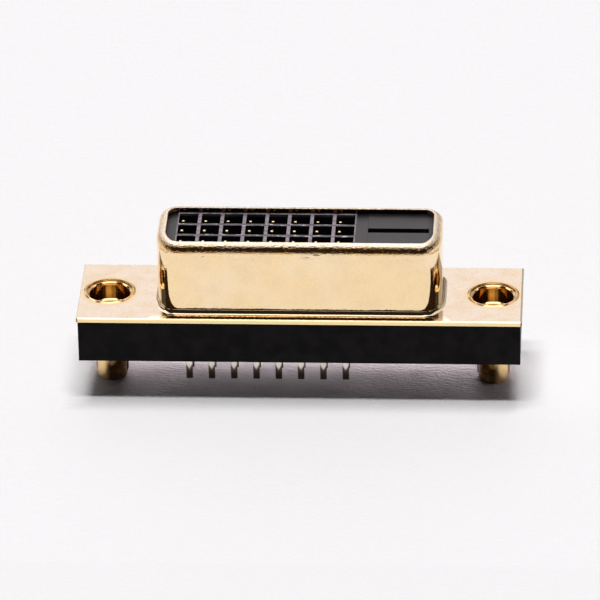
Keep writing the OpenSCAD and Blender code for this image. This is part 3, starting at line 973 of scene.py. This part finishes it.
# %% A black flag in front, which only mirrors see
FLAG_HALF = 60
FLAG_FOOT = (-30.5, 0.2)
FLAG_HEAD = (-36, 14)


def flag_cloth():
    cloth = new_finish("flag_cloth")
    colour = cloth.blend(cloth.speck(1.0), (0.01, 0.008, 0.007, 1), (0.014, 0.011, 0.009, 1))
    return cloth.surface(Base_Color=colour, Roughness=0.9)


flag_corners = [
    (-FLAG_HALF, *FLAG_FOOT), (FLAG_HALF, *FLAG_FOOT), (FLAG_HALF, *FLAG_HEAD), (-FLAG_HALF, *FLAG_HEAD)]
flag = sheet("flag", flag_corners, flag_cloth())
flag.visible_camera = False
flag.visible_diffuse = False
flag.visible_shadow = False

# %% [markdown]
# ## The studio
#
# A photographer lights a polished object twice: once for what it mirrors and once for its shadow. The
# world does the first: a pale backdrop behind, a soft box overhead and a dark room round the camera,
# which draws the brown bands on the bends. Diffuse rays see another, dimmer world, so that the card
# and the plastic keep their shade. Two long narrow strip lamps do the second, one a little in front of
# the zenith and one a little behind, and leave the two steps of the shadow's front edge. Small lamps
# low at the back and at the two ends lift the card under the block. No mirror shows a lamp.

# %% The world, as what the gold mirrors and what lights the card
BACKDROP = (0.97, 0.92, 0.95)
DARK_ROOM = (0.024, 0.015, 0.010, 1)
OVERHEAD = (1.7, 1.65, 1.68, 1)
DIM_ROOM, WINDOW = (0.06, 0.054, 0.057, 1), (0.5, 0.45, 0.48, 1)
HORIZON = 0.01


def between(value, low, high, soft):
    """1 from low to high and 0 outside, with soft ends."""
    return value.fade(low - soft, low + soft) * value.fall(high - soft, high + soft)


def mirrored_room(sky, x, y, z, azimuth):
    """What the metals mirror: the backdrop by height with darker gaps at its sides, the dark room in
    front, and over both the soft box, a rectangle on a plane overhead: x / z and y / z."""
    front = between(azimuth, math.radians(-103), math.radians(115), 0.03)
    left = between(azimuth, math.radians(-138), math.radians(-122), 0.04) * 0.5
    right = between(azimuth, math.radians(120), math.radians(168), 0.04) * 0.5
    ring = between(z, 0.36, 0.62, 0.03) * azimuth.unsigned().fall(2.20, 2.35)
    level = z.fade(0.05, 0.30, 0.3, 1.0) * z.fade(0.55, 0.68, 1.0, 1.7) * z.fade(0.82, 0.90, 1.0, 0.2)
    level = level * (1 - left - right) * (1 - ring * 0.92)
    backdrop = sky.node("VectorMath", {"operation": "SCALE"}, {0: BACKDROP, "Scale": level})
    light = sky.blend(front * z.fall(0.945, 0.96), backdrop, DARK_ROOM)
    above = z.largest(HORIZON)
    box_x = (x / above).unsigned().fall(0.30, 0.40)
    box_y = between(y / above, -0.27, 0.6, 0.04)
    return sky.blend(box_x * box_y * z.fade(0.3, 0.4), light, OVERHEAD)


def studio(world):
    sky = Finish(world)
    toward = sky.node("TexCoord", out="Generated")
    x, y, z = (sky.node("SeparateXYZ", {}, {0: toward}, out=name) for name in "XYZ")
    azimuth = x.operate("ARCTAN2", x, 0 - y)
    window = between(z, 0.35, 0.80, 0.04) * azimuth.unsigned().fade(2.4, 2.8)
    soft = sky.blend(window, DIM_ROOM, WINDOW)
    diffuse = sky.node("LightPath", out="Is Diffuse Ray")
    light = sky.blend(diffuse, mirrored_room(sky, x, y, z, azimuth), soft)
    shader = sky.node("Background", {}, {"Color": light, "Strength": 1.0})
    sky.node("OutputWorld", {}, {"Surface": shader})


world = bpy.data.worlds.new("studio")
bpy.context.scene.world = world
studio(world)
print("studio has", len(world.node_tree.nodes), "nodes")

# %% Two strip lamps for the shadow
WHITE = (1.0, 1.0, 1.0)


def strip_lamp(name, target, way, far, size, energy, spread=180, colour=WHITE):
    """A rectangular lamp, far mm from its target along way and facing it. Its light is in watts and
    its spread in degrees. Neither the camera nor a mirror shows it."""
    data = bpy.data.lights.new(name, "AREA")
    data.shape = "RECTANGLE"
    data.size = size[0] * MM
    data.size_y = size[1] * MM
    data.energy = energy
    data.spread = math.radians(spread)
    data.color = colour
    lamp = bpy.data.objects.new(name, data)
    bpy.context.scene.collection.objects.link(lamp)
    way = Vector(way).normalized()
    turned = way.to_track_quat("Z", "Y").to_matrix().to_4x4()
    lamp.matrix_world = Matrix.Translation((Vector(target) + far * way) * MM) @ turned
    lamp.visible_camera = False
    lamp.visible_glossy = False
    print(name, "at", [round(v / MM, 1) for v in lamp.matrix_world.translation])


MIDDLE = (0, 0, 0)
strip_lamp("front_key", MIDDLE, (0.0, -0.2, 0.98), 10000, (5000, 900), 600)
strip_lamp("rear_key", MIDDLE, (-0.05, 0.09, 0.99), 10000, (5000, 900), 470)

# %% Small lamps low at the back and the two ends, which light the card under the block
DUSKY = (1.0, 0.86, 0.91)
BACK_STRIP, END_STRIP = (36, 2.2), (12, 7)
strip_lamp("low_back_lamp", (0.2, 2.6, 0), (0.0, 0.80, 0.60), 2.6, BACK_STRIP, 0.00042, 72, DUSKY)
strip_lamp("low_left_lamp", (-19, 0, 0), (-0.8, 0.0, 0.6), 20, END_STRIP, 0.000005, 40, DUSKY)
strip_lamp("low_right_lamp", (19.5, 0, 0), (0.8, 0.0, 0.6), 20, END_STRIP, 0.000035, 40, DUSKY)

# %% [markdown]
# ## Camera
#
# The lens, place and slight roll come from measured points of the view: a long lens half a metre
# away, 29 degrees above the floor and a little to the right of the middle. A track-to constraint
# could aim it, but it would lose the roll, so the three axes are worked out and put in a matrix.

# %% The camera
SENSOR = 36
LENS = 355.74
SHIFT_X, SHIFT_Y = -0.00196, -0.01192
DISTANCE = 503.51
ELEVATION, AZIMUTH, ROLL = (math.radians(a) for a in (29.10, -3.45, -1.142))
toward = np.array([
    math.sin(AZIMUTH) * math.cos(ELEVATION), math.cos(AZIMUTH) * math.cos(ELEVATION), -math.sin(ELEVATION)])
level = np.cross(toward, (0, 0, 1))
level /= np.linalg.norm(level)
upright = np.cross(level, toward)
side = level * math.cos(ROLL) + upright * math.sin(ROLL)
top = upright * math.cos(ROLL) - level * math.sin(ROLL)
place = np.array([0, 0, FLANGE_TOP]) - DISTANCE * toward
camera_data = bpy.data.cameras.new("camera")
camera_data.sensor_width = SENSOR
camera_data.lens = LENS
camera_data.shift_x = SHIFT_X
camera_data.shift_y = SHIFT_Y
camera_data.clip_start = 0.01
camera_data.clip_end = 20
camera = bpy.data.objects.new("camera", camera_data)
bpy.context.scene.collection.objects.link(camera)
columns = np.column_stack([side, top, -toward])
camera.matrix_world = Matrix.Translation(Vector(place * MM)) @ Matrix(columns.tolist()).to_4x4()
bpy.context.scene.camera = camera
bpy.context.scene.view_settings.view_transform = "Standard"
print("camera at", np.round(place, 2))
